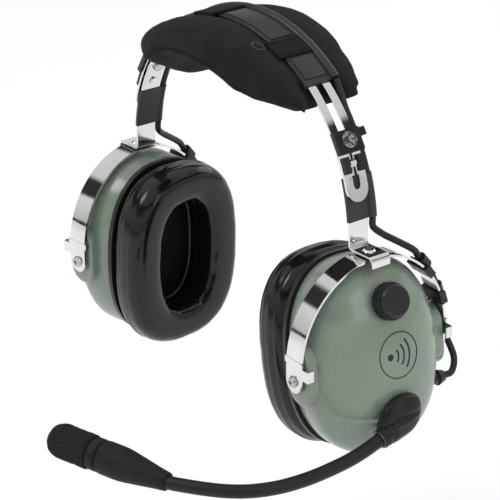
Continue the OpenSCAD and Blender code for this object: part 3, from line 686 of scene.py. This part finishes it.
def head_pad():
    rows, steps = 56, 96
    rings = []
    for i in range(-rows, rows + 1):
        span = PAD_SPAN[0 if i > 0 else 1]
        rings.append([round_top(*p) for p in pad_ring(span * sin(pi / 2 * i / rows), steps)])
    return make("head_cushion", *skin(rings))


def swell(obj, voxel, pressure, cap, frames=20):
    """Blows a closed cushion up a little as cloth, keeping every point within cap of where it began."""
    remesh = obj.modifiers.new("remesh", "REMESH")
    remesh.mode, remesh.voxel_size = "VOXEL", voxel * MM
    mesh = baked(obj)
    obj.data = mesh
    start = [v.co.copy() for v in mesh.vertices]
    cloth = obj.modifiers.new("cloth", "CLOTH")
    settings = cloth.settings
    settings.use_pressure, settings.uniform_pressure_force = True, pressure
    settings.effector_weights.gravity = 0
    settings.tension_stiffness = settings.compression_stiffness = 25
    cloth.point_cache.frame_start, cloth.point_cache.frame_end = 1, frames
    for f in range(1, frames + 1):
        scene.frame_set(f)
    moved = [v.co.copy() for v in baked(obj).vertices]
    limit = cap * MM
    for v, a, b in zip(mesh.vertices, start, moved):
        d = b - a
        v.co = a + (d if d.length <= limit else d.normalized() * limit)
    scene.frame_set(1)
    mesh.polygons.foreach_set("use_smooth", [True] * len(mesh.polygons))


def polar(co):
    """Angle from the top, place along the band's width and radius, of a point of the head pad."""
    x, z = co.x / MM, co.z / MM - BAND_RISE
    return atan2(x, z) * 180 / pi, co.y / MM, (x * x + z * z) ** 0.5


def dress_pad(obj):
    """Sewn seam round the pad's side, a crease under its middle and slack in the cloth."""
    sub = obj.modifiers.new("sub", "SUBSURF")
    sub.levels = sub.render_levels = 2
    obj.data = baked(obj)
    places = [v.co.copy() for v in obj.data.vertices]
    normals = [v.normal.copy() for v in obj.data.vertices]
    for i, (co, normal) in enumerate(zip(places, normals)):
        b, y, r = polar(co)
        deep = pad_deep(b)
        seam_r = BAND_IN + 0.5 - deep * 0.52
        rim = smooth(0.80, 0.97, abs(y) / pad_half(b))
        push = -SEAM_SINK * rim * bump(r - seam_r, 0.8) + 0.6 * rim * bump(abs(r - seam_r) - 2.4, 1.3)
        under = smooth(BAND_IN - deep * 0.5, BAND_IN - deep * 0.9, r)
        push -= under * CREASE_SINK * bump(b - CREASE_AT, 3.0) * (0.4 + 0.6 * rim)
        slack = noise.noise(co * 40) * 0.75 + noise.noise(co * 120) * 0.3
        push += slack * (0.8 if abs(y) > SLEEVE_HALF_W + 5 else 0.15)
        places[i] = co + normal * push * MM
    obj.data.vertices.foreach_set("co", [c for co in places for c in co])
    obj.data.update()
    obj.data.polygons.foreach_set("use_smooth", [True] * len(obj.data.polygons))


def pad_mark(pad_obj):
    """Ring pressed into the cloth by the snap under it."""
    steps, lean, wire_r = 48, (0.9, 0.45), 0.3
    line = []
    for k in range(steps + 1):
        a = 2 * pi * k / steps
        p = Vector(SNAP_AT) + SNAP_R * Vector((cos(a) * lean[0], sin(a), -cos(a) * lean[1]))
        hit, nearest, normal, _ = pad_obj.closest_point_on_mesh(p * MM)
        line.append(nearest / MM + normal * 0.02 if hit else p)
    rings = tube_rings(line, wire_r, (lean[1], 0, lean[0]), 8)
    return finish(make("pad_snap_ring", *skin(rings[:-1], wrapped=True)), "piping", "headband")


def round_box(r0, r1, y0, y1, corner):
    """Closed section of (radius, y) with rounded corners."""
    low_y, high_y, low_r, high_r = y0 + corner, y1 - corner, r0 + corner, r1 - corner
    pts = []
    for cy, cr, a0 in ((high_y, high_r, 0), (low_y, high_r, 90), (low_y, low_r, 180), (high_y, low_r, 270)):
        for k in range(7):
            a = radians(a0 + 15 * k)
            pts.append((cr + corner * sin(a), cy + corner * cos(a)))
    return pts


def round_band(section, a0, a1, steps):
    """Sweeps a section of (radius, y) round the band; angles from the top, positive to the wearer's left."""
    rings = []
    for i in range(steps + 1):
        rings.append([round_top(a0 + (a1 - a0) * i / steps, y, r) for r, y in section])
    return skin(rings)


def label_sleeve():
    """Sewn sleeve over the spring strip: crowned body, the cord's channel, blank panels and stitching."""
    body = []
    for r, y in round_box(BAND_IN - 0.8, BAND_OUT + 1.3, -SLEEVE_HALF_W, SLEEVE_HALF_W, 1.0):
        crown = 0.35 * (1 - (y / SLEEVE_HALF_W) ** 2) if r > BAND_R else 0
        body.append((r + crown, y))
    channel = []
    for k in range(24):
        a = 2 * pi * k / 24
        channel.append((BAND_R + CHANNEL_LIFT + CHANNEL_R * sin(a), CORD_Y + CHANNEL_R * cos(a)))
    parts = [round_band(body, -SLEEVE_SPAN, SLEEVE_SPAN, 72),
             round_band(channel, -SLEEVE_SPAN + 0.3, SLEEVE_SPAN - 0.3, 72)]
    panel = round_box(BAND_OUT + 1.2, BAND_OUT + 1.95, -SLEEVE_HALF_W + 2.1, SLEEVE_HALF_W - 2.6, 0.35)
    parts += [round_band(panel, a0, a1, 30) for a0, a1 in LABEL_PANELS]
    starts = [-37.5 + STITCH_PITCH * k for k in range(47)]
    for y in (-SLEEVE_HALF_W + 1.1, SLEEVE_HALF_W - 1.5):
        thread = round_box(BAND_OUT + 1.28, BAND_OUT + 1.62, y - 0.22, y + 0.22, 0.1)
        parts += [round_band(thread, b, b + STITCH_SPAN, 2) for b in starts]
    obj = make("label_sleeve", *join(*parts), sharp=50)
    return finish(obj, "label", "headband", ["band_sleeve"])


def straps():
    """Cloth bands across the sleeve that fall in front of it, with a row of stitches along each edge."""
    front = -SLEEVE_HALF_W
    top = round_box(BAND_OUT + 1.9, BAND_OUT + 2.75, front - 4, SLEEVE_HALF_W - 0.9, 0.4)
    down = round_box(BAND_IN + 0.2, BAND_OUT + 2.7, front - 4.1, front - 3.1, 0.4)
    parts = []
    for a0, a1 in STRAP_ANGLES:
        parts += [round_band(top, a0, a1, 10), round_band(down, a0, a1, 10)]
        for edge in (a0 + 0.7, a1 - 1.0):
            for k in range(10):
                y = front - 3 + 2.1 * k
                thread = round_box(BAND_OUT + 2.65, BAND_OUT + 2.95, y, y + 1.3, 0.12)
                parts.append(round_band(thread, edge, edge + 0.3, 1))
    obj = make("sleeve_straps", *join(*parts), sharp=50)
    return finish(obj, "strap", "headband", ["pad_straps"])


# ---- crossover cord ----
def upper_route():
    """From the sleeve's channel down beside the arm."""
    points = []
    for k in range(4):
        f = k / 3
        angle = 90 - SLEEVE_SPAN - 0.3 - k * 3
        points.append(on_band(angle, BAND_R + CHANNEL_LIFT - 2 * f, mix(CORD_Y, CORD_ARM_Y, f)))
    return points + [on_band(a, ARM_R + 0.8, CORD_ARM_Y) for a in (37, 33, 29, 24, 19, 14, 10, 5.2)]


def in_yoke(p, s):
    """A point of the left side's headband, seen from the stirrup's own frame."""
    return turn_about("Z", -TURN[s]) @ (Vector(p) - Vector((AXIS_X, 0, 0)))


def on_arch(w, off):
    y, z = arch_at(w, off)
    return Vector((CLIP_CORD_X, y, z))


def yoke_route(s):
    """From the arm's foot, back and down along the stirrup under its clips."""
    points = [in_yoke(on_band(4.9, ARM_R + 0.8, CORD_ARM_Y), s),
              in_yoke((ARM_R + 0.9, CORD_ARM_Y + 0.2, 68), s),
              Vector((-6, 13.5, 63.5)), Vector((-4.5, 19.5, 59.5)), on_arch(36, CLIP_LIFT + 1.2)]
    return points + [on_arch(w, CLIP_LIFT) for w in (42, 47.5, 53, 60, 67, 74, 80, 84)]


def loop_route(s):
    """From the last clip down and round into the cup's grommet."""
    g = turn_about("Y", TILT[s]) @ (GROMMET + Vector((0, 0, CUP_Z)))
    a = on_arch(84.7, CLIP_LIFT)
    down = [a, a + Vector((0, 1.2, -6)), a + Vector((-0.2, 3, -13)), Vector((g.x * 0.6, a.y + 3.4, g.z + 7))]
    return down + [g + Vector((0, 12.5, 0.8))] + [g + Vector((0, y, 0)) for y in (7, 1, -2)]


def cords(s, word):
    """One side's three stretches of cord, each running between the two bodies that it bridges; none is tied to
    either body.
    """
    for part, route, place, ref, a, b in (
            ("upper", upper_route(), side(s), (0, 1, 0), "headband", f"{word}_arm"),
            ("yoke", yoke_route(s), at_yoke(s), (1, 0, 0), f"{word}_arm", f"{word}_stirrup"),
            ("loop", loop_route(s), at_yoke(s), (1, 0, 0), f"{word}_stirrup", f"{word}_cup")):
        obj = make(f"{word}_cord_{part}_line", *tube(curve(route, 6), CORD_R, ref, 18), place=place)
        finish(obj, "cord", None, [f"{word}_cord_{part}"])
        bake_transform(obj)


# ---- boom and microphone ----
def boom_housing():
    """Rubber teardrop over the boom's pivot: a thumb fold across its face, crescent grips at the front."""
    tail = along(BOOM_EXIT + Vector((0, 2.9, 0.6)), BOOM_EXIT)
    profile = [(1.4, 10.9), (1.8, 11.5), (3.4, 11.6), (4.8, 11.3), (5.9, 10.6), (6.8, 9.6), (7.4, 8.7),
               (7.9, 7.6), (8.25, 6.4), (8.5, 5.2), (8.65, 4.0), (8.75, 2.8), (8.8, 1.5), (8.8, 0.03)]
    cap = []
    for x, r in profile:
        ring = []
        for k in range(96):
            a = 2 * pi * k / 96
            reach = smooth(0.1, 1.0, -0.9 * cos(a) - 0.43 * sin(a)) * smooth(0, 11, r)
            corner = bump(a - radians(38), 0.5) * smooth(3, 11, r)
            y, z = r * cos(a) - 4.6 * reach + 1.1 * corner, r * sin(a) - 2.2 * reach + 0.9 * corner
            spread = 3.4 * (1 - smooth(-9, 11, y) * 0.85)
            off = z - 1.2 - 0.12 * y
            fold = smooth(-10.5, -6, y) * smooth(12.5, 8, y) * smooth(1.5, 5.5, x)
            ridges = 0.75 * bump(off - spread, 1.5) + 0.75 * bump(off + spread, 1.5) - 1.5 * bump(off, 1.5)
            ring.append(Vector((x + (BOOM_EXIT.x - x) * reach * 0.35 + fold * ridges, y, z)))
        cap.append(ring)
    stub = lathe([(0, -3.4), (5.2, -3.4), (5.2, -1), (5.0, 0.4), (4.9, 0.9), (0, 0.9)], 40)
    parts = [skin(cap), placed(stub, tail)]
    angles = [radians(128 + 62 * k / 20) for k in range(21)]
    for r in (10.2, 11.4, 12.6):
        line = [Vector((7.6 - (r - 9) * 0.75, -1.5 + r * cos(a), 0.6 + r * sin(a) * 0.9)) for a in angles]
        parts.append(tube(line, lambda t: 0.12 + 0.42 * sin(pi * t) ** 0.7, (1, 0, 0), 10))
    obj = make("boom_grip", *join(*parts), place=AT_BOOM, sharp=60)
    return finish(obj, "boom", "boom", ["boom_housing"])


def boom_pieces():
    """Collar with a bright liner, then one smooth route cut into rear, flexible and front stretches."""
    collar = along(BOOM_EXIT + Vector((0, 1.8, 0.4)), Vector(BOOM_REAR[1]))
    ring = lathe([(3.55, 5.0), (4.4, 5.0), (4.9, 4.7), (5.1, 4.2), (5.1, 3.1), (4.95, 2.9), (4.95, 2.6),
                  (5.1, 2.4), (5.1, 0.2), (4.9, 0), (0, 0), (0, 3.2), (3.55, 3.2), (3.55, 5.0)], 48)
    obj = make("boom_collar_ring", *placed(ring, collar), place=AT_BOOM, sharp=45)
    finish(obj, "boom", "boom", ["boom_collar"])
    bright = lathe([(0, 3.25), (3.5, 3.25), (3.62, 3.6), (4.3, 5.08), (4.42, 5.12), (4.45, 4.9),
                    (3.7, 3.1), (0, 3.1)], 48)
    liner = make("boom_collar_liner", *placed(bright, collar), place=AT_BOOM, sharp=45)
    finish(liner, "steel", "boom")
    steps = 8
    route = curve(BOOM_REAR + BOOM_FLEX[1:] + BOOM_FRONT[1:], steps)
    rings = tube_rings(route, BOOM_R, (0, 0, 1), 32)
    cut_a, cut_b = steps * (len(BOOM_REAR) - 1), steps * (len(BOOM_REAR) + len(BOOM_FLEX) - 2)
    for name, first, last, body in (("boom_rear", 0, cut_a, "boom"), ("boom_flex", cut_a, cut_b, None),
                                    ("boom_front", cut_b, len(rings) - 1, "boom_tip")):
        obj = make(f"{name}_tube", *skin(rings[first:last + 1]), place=AT_BOOM, sharp=60)
        finish(obj, "boom", body, [name])
        if not body:
            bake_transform(obj)


def microphone():
    """Tapered barrel, ring and foam windscreen along the microphone's own axis."""
    body = lathe([(0, 0.1), (4.3, 0.1), (4.75, 0.5), (5.0, 2.4), (5.6, 7), (6.5, 12.5), (7.35, 18),
                  (8.2, 23.5), (8.65, 27), (8.8, 30.5), (8.8, 38.6), (8.65, 39.6), (8.1, 40.1), (7.7, 40.4),
                  (7.7, 40.9), (0, 40.9)], 72)
    finish(make("mic_barrel", *body, place=AT_MIC, sharp=50), "grip", "boom_tip", ["mic_body"])
    band = lathe([(0, 41.0), (7.9, 41.0), (8.35, 41.25), (8.55, 41.8), (8.6, 42.8), (8.6, 44.9), (8.45, 46.0),
                  (8.1, 46.7), (7.7, 46.9), (0, 46.9)], 72)
    finish(make("mic_ring", *band, place=AT_MIC, sharp=50), "grip", "boom_tip", ["mic_band"])
    steps, foot, flat, nose = 96, 49.4, 1.3, 7.5
    shoulder = foot + 12 * flat + 0.6
    profile = [(0.02, 47.1), (8.5, 47.1), (8.95, 47.3), (9.15, 47.8), (9.22, 48.5)]
    profile += [(MIC_R, foot + flat * k) for k in range(13)]
    for a in [radians(9 * k) for k in range(1, 11)]:
        profile.append((MIC_R * (0.35 + 0.65 * cos(a)), shoulder + nose * sin(a)))
    profile += [(1.2, shoulder + nose), (0.02, shoulder + nose)]
    rings = []
    for r, z in profile:
        ring = []
        for k in range(steps):
            a = 2 * pi * k / steps
            p = Vector((r * cos(a), r * sin(a), z))
            rough = noise.noise(p * 0.9) * 0.16 + noise.noise(p * 0.3) * 0.25
            ring.append(p + Vector((cos(a), sin(a), 0)) * (rough - 0.15) * smooth(0, 3, r))
        rings.append(ring)
    obj = make("mic_foam", *skin(rings), place=AT_MIC)
    finish(obj, "screen", "boom_tip", ["mic_windscreen"])


for s, word in ((1, "left"), (-1, "right")):
    dome(s, f"{word}_cup", f"{word}_shell")
    seal(s, f"{word}_cup", f"{word}_cushion")
    cords(s, word)
emblem()
label_sleeve()
straps()
boom_housing()
boom_pieces()
microphone()

pad = head_pad()
swell(pad, PAD_VOXEL, PAD_PRESSURE, PAD_CAP)
dress_pad(pad)
finish(pad, "pad", "headband", ["head_pad"])
pad_mark(pad)
